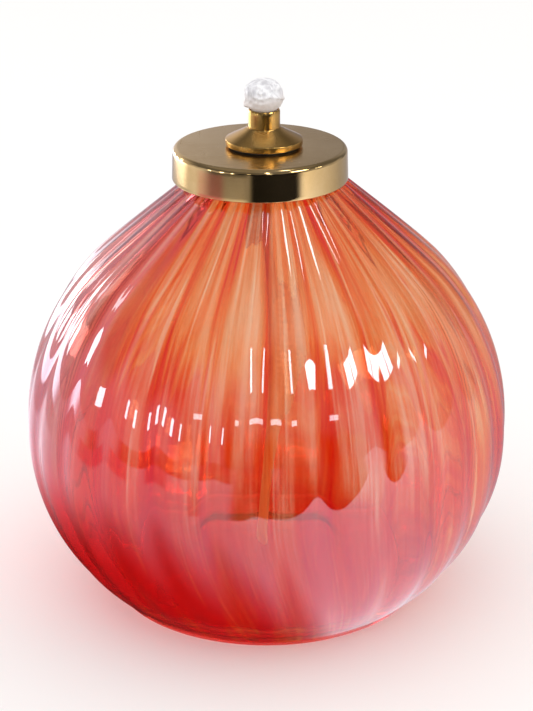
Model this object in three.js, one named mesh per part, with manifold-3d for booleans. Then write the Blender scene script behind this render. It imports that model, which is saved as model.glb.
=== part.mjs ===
// A small oil lamp: a blown glass ball with swirled ribs holds the oil, and a spun brass cap rests on
// its neck. A turned brass wick holder is clamped through the cap, and a round fibreglass wick runs
// through it. The lamp stands on the ground ring of its base: the origin is the centre of that ring,
// +Z is up, and every size is in millimetres.

import * as THREE from "three";
import { mergeVertices } from "three/addons/utils/BufferGeometryUtils.js";
import Module from "manifold-3d";

const solidModeller = await Module();
solidModeller.setup();

// ---------------------------------------------------------------- driving dimensions

// Glass ball: two half ellipses that meet at the widest height, the upper one running into a shoulder.
const ballRadius = 56.7;
const widestHeight = 41.2;
const lowerHalfHeight = 53.5;
const upperHalfHeight = 57.6;
const shoulderStartRadius = 41.9;
const neckRadius = 15.6;
const neckStartHeight = 103.0;
const lipHeight = 107.4;
const wallThickness = 2.6;
const floorThickness = 4.5;
const neckBoreRadius = 12.8;
const restRingInnerRadius = 28;
const baseEdgeRounding = 1.2;
const puntDepth = 1.2;

// The blown glass is one piece, kept as two solids, a bowl and a shoulder, that meet on a flat face.
const jointHeight = 70;

// Ribs of the mould: one wave for each rib, with its hollow sharper than its crest.
const ribCount = 26;
const frontRibPhase = Math.PI;
const samplesPerRib = 4;
const ribHeight = 0.36;
const hollowSharpness = 0.14;
const footSwirl = THREE.MathUtils.degToRad(11);
const neckSwirl = THREE.MathUtils.degToRad(3);
const neckSwirlStart = 60;

// Spun brass cap and the ring that seals it on the lip.
const capRadius = 20;
const capTop = 108.95;
const capSheet = 0.6;
const skirtDepth = 7.1;
const capEdgeRounding = 1;
const skirtFlare = 0.2;
const gasketInnerRadius = 13.1;
const gasketOuterRadius = 16.2;

// Wick holder: heights are above the cap's top face.
const flangeRadius = 8.84;
const flangeUnderside = 0.5;
const flangeRim = 1.55;
const coneTop = 4.45;
const tubeRadius = 3.65;
const tubeTop = 8.65;
const tubeChamfer = 0.4;
const wickBoreRadius = 3.2;
const shankRadius = 4.2;
const shankLength = 7.2;

// Clamping parts on the shank.
const seatWasherRadius = 8.1;
const nutWasherRadius = 7.9;
const nutWasherThickness = 0.8;
const nutAcrossFlats = 12;
const nutHeight = 3.4;
const threadClearance = 0.25;

// Wick: its radius, and the head that has opened out over the holder's mouth.
const wickRadius = 2.9;
const wickSides = 12;
const headRadius = 4.4;
const headHeight = 7;

// Flat faces that lie on each other stay this far apart.
const hairline = 0.05;

// ---------------------------------------------------------------- materials

function material(colour, roughness, metalness) {
  return new THREE.MeshStandardMaterial({ color: colour, roughness: roughness, metalness: metalness });
}

const ribbedGlass = material(0xe0532f, 0.08, 0);
ribbedGlass.transparent = true;
ribbedGlass.opacity = 0.75;
const palePolishedBrass = material(0xd0b273, 0.22, 1);
const turnedBrass = material(0xc8963c, 0.3, 1);
const plainBrass = material(0xb89149, 0.4, 1);
const darkFibre = material(0x2a2622, 0.8, 0);
const softSeal = material(0xcfc8bd, 0.7, 0);
const fibreglass = material(0xf2f0f2, 0.9, 0);

// ---------------------------------------------------------------- shape helpers

function point(radius, height) {
  return new THREE.Vector2(radius, height);
}

/** Turns a profile of radius and height points about the Z axis. */
function turned(profile, segments) {
  return new THREE.LatheGeometry(profile, segments).rotateX(Math.PI / 2);
}

/** Turns a profile that closes on itself into a ring. */
function turnedRing(corners, segments) {
  return turned([...corners, corners[0].clone()], segments);
}

/** A flat washer with its underside at the given height. */
function washer(innerRadius, outerRadius, underside, thickness, segments) {
  const top = underside + thickness;
  const corners = [
    point(innerRadius, underside),
    point(outerRadius, underside),
    point(outerRadius, top),
    point(innerRadius, top),
  ];
  return turnedRing(corners, segments);
}

/** A quarter of a round edge, from one angle to another about its centre. */
function roundedEdge(centreRadius, centreHeight, rounding, startAngle, endAngle, steps) {
  const clockwise = endAngle < startAngle;
  const arc = new THREE.EllipseCurve(
    centreRadius, centreHeight, rounding, rounding, startAngle, endAngle, clockwise);
  return arc.getPoints(steps);
}

function solidOf(geometry) {
  const bare = geometry.clone();
  bare.deleteAttribute("normal");
  bare.deleteAttribute("uv");
  const merged = mergeVertices(bare, 1e-5);
  return new solidModeller.Manifold(new solidModeller.Mesh({
    numProp: 3,
    vertProperties: new Float32Array(merged.getAttribute("position").array),
    triVerts: new Uint32Array(merged.getIndex().array),
  }));
}

function geometryOf(solid) {
  const mesh = solid.getMesh();
  const geometry = new THREE.BufferGeometry();
  geometry.setAttribute("position", new THREE.BufferAttribute(mesh.vertProperties, 3));
  geometry.setIndex(new THREE.BufferAttribute(mesh.triVerts, 1));
  geometry.computeVertexNormals();
  return geometry;
}

function namedMesh(name, geometry, finish) {
  const mesh = new THREE.Mesh(geometry, finish);
  mesh.name = name;
  return mesh;
}

// ---------------------------------------------------------------- glass ball

/** Angle on a half ellipse, measured from its widest point, where it stands at the given height. */
function ellipseAngle(heightFromWidest, halfHeight) {
  return Math.asin(heightFromWidest / halfHeight);
}

/** A skin of the bowl, set in from the outside, from its lowest height to the joint face. */
function bowlOutline(inset, lowestHeight, lowerSteps, upperSteps) {
  const radius = ballRadius - inset;
  const lowerHalf = lowerHalfHeight - inset;
  const upperHalf = upperHalfHeight - inset;
  const lower = new THREE.EllipseCurve(
    0, widestHeight, radius, lowerHalf, ellipseAngle(lowestHeight - widestHeight, lowerHalf), 0);
  const upper = new THREE.EllipseCurve(
    0, widestHeight, radius, upperHalf, 0, ellipseAngle(jointHeight - widestHeight, upperHalf));
  return [...lower.getPoints(lowerSteps), ...upper.getPoints(upperSteps).slice(1)];
}

/** A skin of the shoulder, set in from the outside, from the joint face to the foot of the neck. */
function shoulderOutline(inset, endRadius, upperSteps, shoulderSteps) {
  const upperHalf = upperHalfHeight - inset;
  const upper = new THREE.EllipseCurve(
    0, widestHeight, ballRadius - inset, upperHalf,
    ellipseAngle(jointHeight - widestHeight, upperHalf), Math.acos(shoulderStartRadius / ballRadius));
  const start = upper.getPoint(1);
  const shoulder = new THREE.CubicBezierCurve(
    start,
    start.clone().addScaledVector(upper.getTangent(1), 7.2),
    point(endRadius + 3.1, neckStartHeight - 2.9),
    point(endRadius, neckStartHeight));
  return [...upper.getPoints(upperSteps), ...shoulder.getPoints(shoulderSteps).slice(1)];
}

/** How far the ribs have turned about the axis at a height: a swirl at the foot, a slight one above. */
function swirlAt(height) {
  const below = Math.max(0, (widestHeight - height) / widestHeight);
  const above = Math.max(0, (height - neckSwirlStart) / (capTop - neckSwirlStart));
  return footSwirl * below ** 1.5 + neckSwirl * above ** 2;
}

/** Relief of the ribs: they rise from nothing at the foot and fade out inside the cap. */
function ribRelief(azimuth, height) {
  const phase = ribCount * azimuth + frontRibPhase;
  const wave = Math.cos(phase) - hollowSharpness * Math.cos(2 * phase);
  const rise = THREE.MathUtils.smoothstep(height, 1, 12);
  const fade = 1 - THREE.MathUtils.smoothstep(height, neckStartHeight, lipHeight - 1);
  return ribHeight * wave * rise * fade;
}

/** Turns a profile into glass, with the ribs pressed into those of its points that are outside. */
function ribbedGlassMesh(name, profile, outside) {
  const segments = ribCount * samplesPerRib;
  const geometry = new THREE.LatheGeometry(profile, segments);
  const positions = geometry.getAttribute("position");
  for (let turn = 0; turn <= segments; turn += 1) {
    const azimuth = 2 * Math.PI * (turn % segments) / segments;
    for (let step = 0; step < profile.length; step += 1) {
      const height = profile[step].y;
      const relief = outside.includes(profile[step]) ? ribRelief(azimuth, height) : 0;
      const radius = profile[step].x + relief;
      const angle = azimuth + swirlAt(height);
      positions.setXYZ(turn * profile.length + step, radius * Math.sin(angle), height, radius * Math.cos(angle));
    }
  }
  return namedMesh(name, geometry.rotateX(Math.PI / 2), ribbedGlass);
}

function glassGlobe() {
  const outside = bowlOutline(0, baseEdgeRounding, 8, 4);
  const profile = [
    point(0, puntDepth),
    point(restRingInnerRadius - 3, puntDepth),
    point(restRingInnerRadius, 0),
    point(outside[0].x - baseEdgeRounding, 0),
    ...outside,
    ...bowlOutline(wallThickness, floorThickness, 6, 3).reverse(),
    point(0, floorThickness),
  ];
  return ribbedGlassMesh("glass_globe", profile, outside);
}

function glassShoulder() {
  const outside = shoulderOutline(0, neckRadius, 2, 4);
  const lipRadius = (neckRadius - neckBoreRadius) / 2;
  const profile = [
    ...outside,
    ...roundedEdge(neckBoreRadius + lipRadius, lipHeight - lipRadius, lipRadius, 0, Math.PI, 4),
    ...shoulderOutline(wallThickness, neckBoreRadius, 2, 3).reverse(),
    outside[0],
  ];
  return ribbedGlassMesh("glass_shoulder", profile, outside);
}

// ---------------------------------------------------------------- cap, holder and clamping parts

function neckGasket() {
  const underside = lipHeight + hairline;
  const thickness = capTop - capSheet - hairline - underside;
  const ring = washer(gasketInnerRadius, gasketOuterRadius, underside, thickness, 48);
  return namedMesh("neck_gasket", ring, softSeal);
}

function brassCap() {
  const inner = capRadius - capSheet;
  const innerRounding = capEdgeRounding - capSheet;
  const corners = [
    point(shankRadius + 0.3, -capSheet),
    ...roundedEdge(inner - innerRounding, -capSheet - innerRounding, innerRounding, Math.PI / 2, 0, 3),
    point(inner + skirtFlare, -skirtDepth),
    point(capRadius + skirtFlare, -skirtDepth),
    ...roundedEdge(capRadius - capEdgeRounding, -capEdgeRounding, capEdgeRounding, 0, Math.PI / 2, 5),
    point(shankRadius + 0.3, 0),
  ];
  return namedMesh("brass_cap", turnedRing(corners, 48), palePolishedBrass);
}

function seatWasher() {
  const ring = washer(
    shankRadius + threadClearance, seatWasherRadius, hairline, flangeUnderside - 2 * hairline, 40);
  return namedMesh("seat_washer", ring, darkFibre);
}

function wickHolder() {
  const bottom = -shankLength;
  const corners = [
    point(wickBoreRadius, bottom),
    point(shankRadius - 0.3, bottom),
    point(shankRadius, bottom + 0.3),
    point(shankRadius, flangeUnderside),
    point(flangeRadius - 0.2, flangeUnderside),
    point(flangeRadius, flangeUnderside + 0.2),
    point(flangeRadius, flangeRim - 0.2),
    point(flangeRadius - 0.25, flangeRim),
    point(tubeRadius + 0.45, coneTop - 0.15),
    point(tubeRadius, coneTop + 0.2),
    point(tubeRadius, tubeTop - tubeChamfer),
    point(tubeRadius - tubeChamfer / 2, tubeTop),
    point(wickBoreRadius, tubeTop - 0.15),
  ];
  return namedMesh("wick_holder", turnedRing(corners, 32), turnedBrass);
}

function nutWasher() {
  const underside = -capSheet - hairline - nutWasherThickness;
  const ring = washer(
    shankRadius + threadClearance, nutWasherRadius, underside, nutWasherThickness, 36);
  return namedMesh("nut_washer", ring, plainBrass);
}

function lockNut() {
  const cornerRadius = nutAcrossFlats / Math.sqrt(3);
  const outline = new THREE.Shape();
  for (let corner = 0; corner < 6; corner += 1) {
    const angle = corner * Math.PI / 3;
    const x = cornerRadius * Math.cos(angle);
    const y = cornerRadius * Math.sin(angle);
    if (corner === 0) {
      outline.moveTo(x, y);
    } else {
      outline.lineTo(x, y);
    }
  }
  outline.closePath();
  const bore = new THREE.Path();
  bore.absarc(0, 0, shankRadius + threadClearance, 0, 2 * Math.PI, true);
  outline.holes.push(bore);
  const prism = new THREE.ExtrudeGeometry(
    outline, { depth: nutHeight, bevelEnabled: false, curveSegments: 18 });
  const chamferCone = turned([
    point(0, 0),
    point(cornerRadius - 0.7, 0),
    point(cornerRadius + 0.1, 0.45),
    point(cornerRadius + 0.1, nutHeight - 0.45),
    point(cornerRadius - 0.7, nutHeight),
    point(0, nutHeight),
  ], 36);
  const nut = geometryOf(solidOf(prism).intersect(solidOf(chamferCone)));
  const mesh = namedMesh("lock_nut", nut, plainBrass);
  mesh.position.z = -capSheet - nutWasherThickness - 2 * hairline - nutHeight;
  return mesh;
}

// ---------------------------------------------------------------- wick

// The wick hangs straight out of the holder's shank, far enough for its feed, and then sways a little
// on its way to the floor of the ball. It stays near the axis, so that it lifts out with the cap.
const wickRoute = [
  [0, 0, 119.5], [0, 0, 116], [0, 0, 111], [0, 0, 106], [0, 0, 101], [0, 0, 96], [0, 0, 91],
  [0.1, 0.05, 88], [1.0, 0.4, 82], [2.3, 0.8, 76], [3.6, 0.7, 69], [4.4, 0.0, 62], [4.7, -0.9, 55],
  [4.4, -1.8, 48], [3.7, -2.5, 41], [2.6, -3.0, 34], [1.2, -3.2, 27], [-0.3, -3.0, 20],
  [-1.6, -2.4, 13.5], [-2.4, -1.7, 8.5],
];

function wick() {
  const route = new THREE.CatmullRomCurve3(wickRoute.map(([x, y, z]) => new THREE.Vector3(x, y, z)));
  const section = new THREE.Shape();
  for (let side = 0; side < wickSides; side += 1) {
    const angle = 2 * Math.PI * side / wickSides;
    const x = wickRadius * Math.cos(angle);
    const y = wickRadius * Math.sin(angle);
    if (side === 0) {
      section.moveTo(x, y);
    } else {
      section.lineTo(x, y);
    }
  }
  const strand = new THREE.ExtrudeGeometry(section, { steps: 24, extrudePath: route, curveSegments: 1 });
  const mouth = capTop + tubeTop;
  const head = turned([
    point(0, mouth - 1.2),
    point(wickRadius - 0.3, mouth - 1.2),
    point(wickRadius + 0.1, mouth + 0.3),
    ...new THREE.EllipseCurve(
      0, mouth + 0.45 * headHeight, headRadius, 0.45 * headHeight, -0.75, 0).getPoints(4),
    ...new THREE.EllipseCurve(
      0, mouth + 0.45 * headHeight, headRadius, 0.55 * headHeight, 0, Math.PI / 2).getPoints(6).slice(1, -1),
    point(0, mouth + headHeight),
  ], 20);
  return namedMesh("wick", geometryOf(solidOf(strand).add(solidOf(head))), fibreglass);
}

// ---------------------------------------------------------------- lamp

const oilLamp = new THREE.Group();
oilLamp.name = "oil_lamp";

const capAssembly = new THREE.Group();
capAssembly.name = "cap_assembly";
capAssembly.position.z = capTop;
capAssembly.add(brassCap(), seatWasher(), wickHolder(), nutWasher(), lockNut());

oilLamp.add(glassGlobe(), glassShoulder(), neckGasket(), capAssembly, wick());

export default oilLamp;
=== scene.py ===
"""Looks of a small blown glass oil lamp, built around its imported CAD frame.

The lamp is a ribbed glass ball with a loose brass cap, a turned wick holder clamped through the cap and
a round fibreglass wick. Each sub-assembly is a class that makes its meshes and dresses them, each finish
is a frozen dataclass, and the studio around the lamp is a class of its own. All lengths are in metres.
"""

import logging
import math
from dataclasses import dataclass, field
from enum import Enum
from functools import reduce
from typing import Iterable, NamedTuple, Sequence

import bpy
import numpy as np
from mathutils import Matrix, Vector


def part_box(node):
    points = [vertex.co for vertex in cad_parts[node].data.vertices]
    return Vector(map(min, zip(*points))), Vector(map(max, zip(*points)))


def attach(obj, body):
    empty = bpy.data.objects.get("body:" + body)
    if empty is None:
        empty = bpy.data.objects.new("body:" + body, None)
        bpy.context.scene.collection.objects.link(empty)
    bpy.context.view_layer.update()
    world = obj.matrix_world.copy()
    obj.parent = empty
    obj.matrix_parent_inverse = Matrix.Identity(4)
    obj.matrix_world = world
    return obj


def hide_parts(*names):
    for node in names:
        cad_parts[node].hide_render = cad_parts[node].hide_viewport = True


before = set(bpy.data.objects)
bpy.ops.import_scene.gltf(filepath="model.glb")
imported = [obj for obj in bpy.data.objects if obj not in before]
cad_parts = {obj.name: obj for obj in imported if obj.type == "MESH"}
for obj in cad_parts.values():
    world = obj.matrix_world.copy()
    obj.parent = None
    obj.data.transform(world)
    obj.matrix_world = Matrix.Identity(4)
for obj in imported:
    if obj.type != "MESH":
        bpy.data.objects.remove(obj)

LOG = logging.getLogger("oil_lamp")
MILLIMETRE = 0.001
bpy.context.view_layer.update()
FULL_RELIEF = 0.99
ON_AXIS = 1e-9

Profile = list[tuple[float, float]]
Colour = tuple[float, float, float]


class Body(Enum):
    """The rigid bodies of the lamp, by their names in the frame."""

    GLOBE = "globe"
    SEAL = "seal"
    CAP = "cap"
    WICK = "wick"


class Slot(Enum):
    """The record's material slots."""

    RIBBED_GLASS = "ribbed_glass"
    SEAL_RUBBER = "seal_rubber"
    CAP_BRASS = "cap_brass"
    DARK_FIBRE = "dark_fibre"
    HOLDER_BRASS = "holder_brass"
    HARDWARE_BRASS = "hardware_brass"
    WICK_FIBREGLASS = "wick_fibreglass"


def mm(value: float) -> float:
    """Millimetres as metres."""
    return value * MILLIMETRE


# ---------------------------------------------------------------- meshes


def mesh_object(name: str, vertices: np.ndarray, faces: Iterable[Sequence[int]]) -> bpy.types.Object:
    """Makes a smooth-shaded mesh object at the origin.

    Args:
        name: The object's name.
        vertices: One row of x, y, z for each vertex.
        faces: The faces, as vertex numbers.

    Returns:
        The linked object.
    """
    mesh = bpy.data.meshes.new(name)
    mesh.from_pydata(vertices.tolist(), [], [list(face) for face in faces])
    mesh.validate()
    mesh.shade_smooth()
    made = bpy.data.objects.new(name, mesh)
    bpy.context.scene.collection.objects.link(made)
    return made


def arc(centre: tuple[float, float], radius: float, start: float, end: float, steps: int) -> Profile:
    """Points on a round edge of a profile.

    Args:
        centre: The arc's centre, as radius and height.
        radius: The arc's radius.
        start: The first angle in degrees, from outward and turning upward.
        end: The last angle in degrees.
        steps: How many stretches the arc has.

    Returns:
        The arc's points, both ends included.
    """
    angles = np.radians(np.linspace(start, end, steps + 1))
    return [(centre[0] + radius * math.cos(a), centre[1] + radius * math.sin(a)) for a in angles]


def stretch(start: tuple[float, float], end: tuple[float, float], steps: int) -> Profile:
    """Spaces points evenly on a straight stretch of a profile.

    Args:
        start: The stretch's first point, as radius and height.
        end: Its last point.
        steps: How many points it gets.

    Returns:
        The points, without the last one.
    """
    shares = np.arange(steps) / steps
    return [(start[0] + (end[0] - start[0]) * s, start[1] + (end[1] - start[1]) * s) for s in shares]


def turned(name: str, profile: Profile, segments: int, crease: float = 35.0) -> bpy.types.Object:
    """Turns a profile about the Z axis into a closed mesh.

    Args:
        name: The object's name.
        profile: Radius and height points, anticlockwise. It runs from axis to axis, or closes on itself.
        segments: How many steps the turn has.
        crease: The angle in degrees past which an edge is shaded sharp.

    Returns:
        The turned object.
    """
    on_axis = [abs(radius) < ON_AXIS for radius, _ in profile]
    turn = np.arange(segments) * (2 * math.pi / segments)
    vertices: list[tuple[float, float, float]] = []
    first: list[int] = []
    for (radius, height), pole in zip(profile, on_axis):
        first.append(len(vertices))
        if pole:
            vertices.append((0.0, 0.0, height))
        else:
            vertices.extend((radius * math.sin(a), -radius * math.cos(a), height) for a in turn)
    open_profile = on_axis[0]
    rings = len(profile)
    faces: list[tuple[int, ...]] = []
    for lower in range(rings - 1 if open_profile else rings):
        upper = (lower + 1) % rings
        for step in range(segments):
            after = (step + 1) % segments
            if on_axis[lower]:
                faces.append((first[lower], first[upper] + after, first[upper] + step))
            elif on_axis[upper]:
                faces.append((first[lower] + step, first[lower] + after, first[upper]))
            else:
                faces.append((first[lower] + step, first[lower] + after,
                              first[upper] + after, first[upper] + step))
    made = mesh_object(name, np.array(vertices), faces)
    made.data.set_sharp_from_angle(angle=math.radians(crease))
    return made


def evaluated_mesh(piece: bpy.types.Object) -> None:
    """Turns the result of a piece's modifiers into its plain mesh, and removes them.

    Args:
        piece: The piece to change.
    """
    depsgraph = bpy.context.evaluated_depsgraph_get()
    result = bpy.data.meshes.new_from_object(
        piece.evaluated_get(depsgraph), preserve_all_data_layers=True, depsgraph=depsgraph)
    piece.modifiers.clear()
    piece.data = result


# ---------------------------------------------------------------- node trees


class Change(NamedTuple):
    """A smooth change of a value: to_low at low, to_high at high."""

    low: float
    high: float
    to_low: float = 0.0
    to_high: float = 1.0


class NodeTree:
    """A node tree under construction: what geometry and material trees share.

    Args:
        tree: The new tree.
    """

    def __init__(self, tree: bpy.types.NodeTree) -> None:
        """Takes up a new tree."""
        self.tree = tree

    def node(self, kind: str, **settings: object) -> bpy.types.Node:
        """Adds a node and sets its properties.

        Args:
            kind: The node's type.
            **settings: Its properties, by name.

        Returns:
            The node.
        """
        made = self.tree.nodes.new(kind)
        for key, value in settings.items():
            setattr(made, key, value)
        return made

    def plug(self, target: bpy.types.NodeSocket, source: object) -> None:
        """Feeds an input socket.

        Args:
            target: The input socket.
            source: The socket to link from, or a plain value.
        """
        if isinstance(source, bpy.types.NodeSocket):
            self.tree.links.new(source, target)
        else:
            target.default_value = source

    def math(self, operation: str, *operands: object) -> bpy.types.NodeSocket:
        """Adds a Math node.

        Args:
            operation: What it works out.
            *operands: Sockets or numbers.

        Returns:
            Its result.
        """
        made = self.node("ShaderNodeMath", operation=operation)
        for socket, operand in zip(made.inputs, operands):
            self.plug(socket, operand)
        return made.outputs[0]

    def add(self, *terms: object) -> bpy.types.NodeSocket:
        """The sum of sockets or numbers."""
        return reduce(lambda total, term: self.math("ADD", total, term), terms)

    def multiply(self, *factors: object) -> bpy.types.NodeSocket:
        """The product of sockets or numbers."""
        return reduce(lambda product, factor: self.math("MULTIPLY", product, factor), factors)

    def subtract(self, first: object, second: object) -> bpy.types.NodeSocket:
        """The difference of two sockets or numbers."""
        return self.math("SUBTRACT", first, second)

    def parts(self, vector: bpy.types.NodeSocket) -> list[bpy.types.NodeSocket]:
        """Splits a vector.

        Args:
            vector: The vector's socket.

        Returns:
            Its x, y and z.
        """
        made = self.node("ShaderNodeSeparateXYZ")
        self.plug(made.inputs[0], vector)
        return list(made.outputs)

    def between(self, value: object, low: object, high: object, to_low: object = 0.0,
                to_high: object = 1.0) -> bpy.types.NodeSocket:
        """A smooth change, as a Change says it, of sockets or numbers.

        Args:
            value: What decides.
            low: The value where the change starts.
            high: The value where it ends.
            to_low: The result up to low.
            to_high: The result from high on.

        Returns:
            The result.
        """
        made = self.node("ShaderNodeMapRange", interpolation_type="SMOOTHSTEP")
        settings = (("Value", value), ("From Min", low), ("From Max", high),
                    ("To Min", to_low), ("To Max", to_high))
        for name, source in settings:
            self.plug(made.inputs[name], source)
        return made.outputs["Result"]


class GeometryTree(NodeTree):
    """A Geometry Nodes tree under construction, with named inputs.

    Args:
        name: The tree's name.
    """

    def __init__(self, name: str) -> None:
        """Starts the tree with one geometry going in and one coming out.

        Args:
            name: The tree's name.
        """
        super().__init__(bpy.data.node_groups.new(name, "GeometryNodeTree"))
        self.identifiers: dict[str, str] = {}
        self.defaults: dict[str, object] = {}
        for way in ("INPUT", "OUTPUT"):
            self.tree.interface.new_socket("Geometry", in_out=way, socket_type="NodeSocketGeometry")
        self.inlet = self.node("NodeGroupInput")
        self.outlet = self.node("NodeGroupOutput")

    def named_input(self, name: str, value: object) -> bpy.types.NodeSocket:
        """Adds a named input, a material or a number.

        Args:
            name: What the input sizes or dresses.
            value: What the modifier gives it.

        Returns:
            The socket that carries the input.
        """
        kind = "Material" if isinstance(value, bpy.types.Material) else "Float"
        item = self.tree.interface.new_socket(name, in_out="INPUT", socket_type=f"NodeSocket{kind}")
        self.identifiers[name] = item.identifier
        self.defaults[name] = value
        return self.inlet.outputs[name]

    def attribute(self, name: str, kind: str) -> bpy.types.NodeSocket:
        """Reads a named attribute of the geometry.

        Args:
            name: The attribute's name.
            kind: Its data type, as the node names it.

        Returns:
            The attribute.
        """
        made = self.node("GeometryNodeInputNamedAttribute", data_type=kind)
        self.plug(made.inputs["Name"], name)
        return made.outputs[0]

    def dress(self, geometry: bpy.types.NodeSocket, material: bpy.types.NodeSocket,
              selection: bpy.types.NodeSocket | None = None) -> bpy.types.NodeSocket:
        """Adds a Set Material node.

        Args:
            geometry: The shape.
            material: The finish of the selected faces.
            selection: The faces to dress, or None for all of them.

        Returns:
            The dressed shape.
        """
        dressed = self.node("GeometryNodeSetMaterial")
        if selection is not None:
            self.plug(dressed.inputs["Selection"], selection)
        self.plug(dressed.inputs["Geometry"], geometry)
        self.plug(dressed.inputs["Material"], material)
        return dressed.outputs["Geometry"]

    def finish(self, geometry: bpy.types.NodeSocket, material: bpy.types.NodeSocket,
               selection: bpy.types.NodeSocket) -> None:
        """Ends the tree in Realize Instances and Set Material.

        Args:
            geometry: The finished shape.
            material: The finish of the selected faces.
            selection: The faces to dress.
        """
        real = self.node("GeometryNodeRealizeInstances")
        self.plug(real.inputs["Geometry"], geometry)
        dressed = self.dress(real.outputs["Geometry"], material, selection)
        self.plug(self.outlet.inputs["Geometry"], dressed)

    def apply_to(self, piece: bpy.types.Object) -> None:
        """Runs the tree on a piece and leaves the result as its plain mesh.

        Args:
            piece: The piece to change.
        """
        modifier = piece.modifiers.new(self.tree.name, "NODES")
        modifier.node_group = self.tree
        for name, identifier in self.identifiers.items():
            modifier[identifier] = self.defaults[name]
        evaluated_mesh(piece)


class Shader(NodeTree):
    """A material's node tree under construction, around one Principled shader.

    Args:
        name: The material's name.
        attribute: The piece's own vector attribute that the pattern reads, or None for Object coordinates.
    """

    def __init__(self, name: str, attribute: str | None = None) -> None:
        """Starts the material and finds the coordinates of its pattern.

        Args:
            name: The material's name.
            attribute: The vector attribute that the pattern reads, or None for Object coordinates.
        """
        self.material = bpy.data.materials.new(name)
        self.material.use_nodes = True
        super().__init__(self.material.node_tree)
        self.surface = self.tree.nodes["Principled BSDF"]
        if attribute is None:
            self.place = self.node("ShaderNodeTexCoord").outputs["Object"]
        else:
            self.place = self.node("ShaderNodeAttribute", attribute_name=attribute).outputs["Vector"]

    def set(self, **values: object) -> None:
        """Sets or links the Principled shader's sockets, each named with _ for a space."""
        for name, source in values.items():
            self.plug(self.surface.inputs[name.replace("_", " ")], source)

    def noise(self, scale: Sequence[float], detail: float = 3.0, roughness: float = 0.55,
              distortion: float = 0.0, shift: Sequence[float] = (0, 0, 0)) -> bpy.types.NodeSocket:
        """A noise pattern from 0 to 1.

        Args:
            scale: How many features fit in one unit of each coordinate.
            detail: How many finer layers it has.
            roughness: How strong the finer layers are.
            distortion: How far the pattern is stirred.
            shift: A move along the pattern, which gives another one.

        Returns:
            The noise's value.
        """
        mapped = self.node("ShaderNodeMapping")
        for name, source in (("Scale", tuple(scale)), ("Location", tuple(shift)), ("Vector", self.place)):
            self.plug(mapped.inputs[name], source)
        made = self.node("ShaderNodeTexNoise")
        for name, source in (("Vector", mapped.outputs["Vector"]), ("Scale", 1.0), ("Detail", detail),
                             ("Roughness", roughness), ("Distortion", distortion)):
            self.plug(made.inputs[name], source)
        return made.outputs["Fac"]

    def ramp(self, factor: bpy.types.NodeSocket,
             stops: Sequence[tuple[float, Colour]]) -> bpy.types.NodeSocket:
        """A colour ramp.

        Args:
            factor: Where on the ramp.
            stops: A position and a linear colour for each stop.

        Returns:
            The ramp's colour.
        """
        made = self.node("ShaderNodeValToRGB")
        elements = made.color_ramp.elements
        while len(elements) < len(stops):
            elements.new(0.5)
        for element, (position, colour) in zip(elements, stops):
            element.position = position
            element.color = (*colour, 1.0)
        self.plug(made.inputs["Fac"], factor)
        return made.outputs["Color"]

    def blend(self, factor: object, first: object, second: object) -> bpy.types.NodeSocket:
        """Mixes two colours.

        Args:
            factor: How much of the second.
            first: A colour, or the socket of one.
            second: A colour, or the socket of one.

        Returns:
            The mixed colour.
        """
        made = self.node("ShaderNodeMix", data_type="RGBA")
        self.plug(made.inputs["Factor"], factor)
        colours = [socket for socket in made.inputs if socket.type == "RGBA"]
        for socket, source in zip(colours, (first, second)):
            self.plug(socket, (*source, 1.0) if isinstance(source, tuple) else source)
        return next(socket for socket in made.outputs if socket.type == "RGBA")

    def bump(self, height: bpy.types.NodeSocket, distance: float, strength: float = 1.0,
             under: bpy.types.NodeSocket | None = None) -> bpy.types.NodeSocket:
        """A normal from a height pattern.

        Args:
            height: The pattern.
            distance: How high it stands.
            strength: How much of it shows.
            under: Another normal to lay it on.

        Returns:
            The normal.
        """
        made = self.node("ShaderNodeBump")
        for name, source in (("Strength", strength), ("Distance", distance), ("Height", height)):
            self.plug(made.inputs[name], source)
        if under is not None:
            self.plug(made.inputs["Normal"], under)
        return made.outputs["Normal"]


# ---------------------------------------------------------------- finishes


class Skin(Enum):
    """The two faces of the blown wall."""

    OUTER = "outer"
    INNER = "inner"


@dataclass(frozen=True)
class Streaks:
    """One noise of the glass's colour, on the ball's flow coordinates.

    around and along are how many features fit in one unit round the axis and up the wall.
    """

    around: float
    along: float
    strength: float
    shift: tuple[float, float, float]
    detail: float = 2.0
    roughness: float = 0.5
    distortion: float = 0.0

    def value(self, shader: Shader) -> bpy.types.NodeSocket:
        """The noise's value, from 0 to 1."""
        return shader.noise((self.around, self.around, self.along), self.detail, self.roughness,
                            self.distortion, self.shift)


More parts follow.
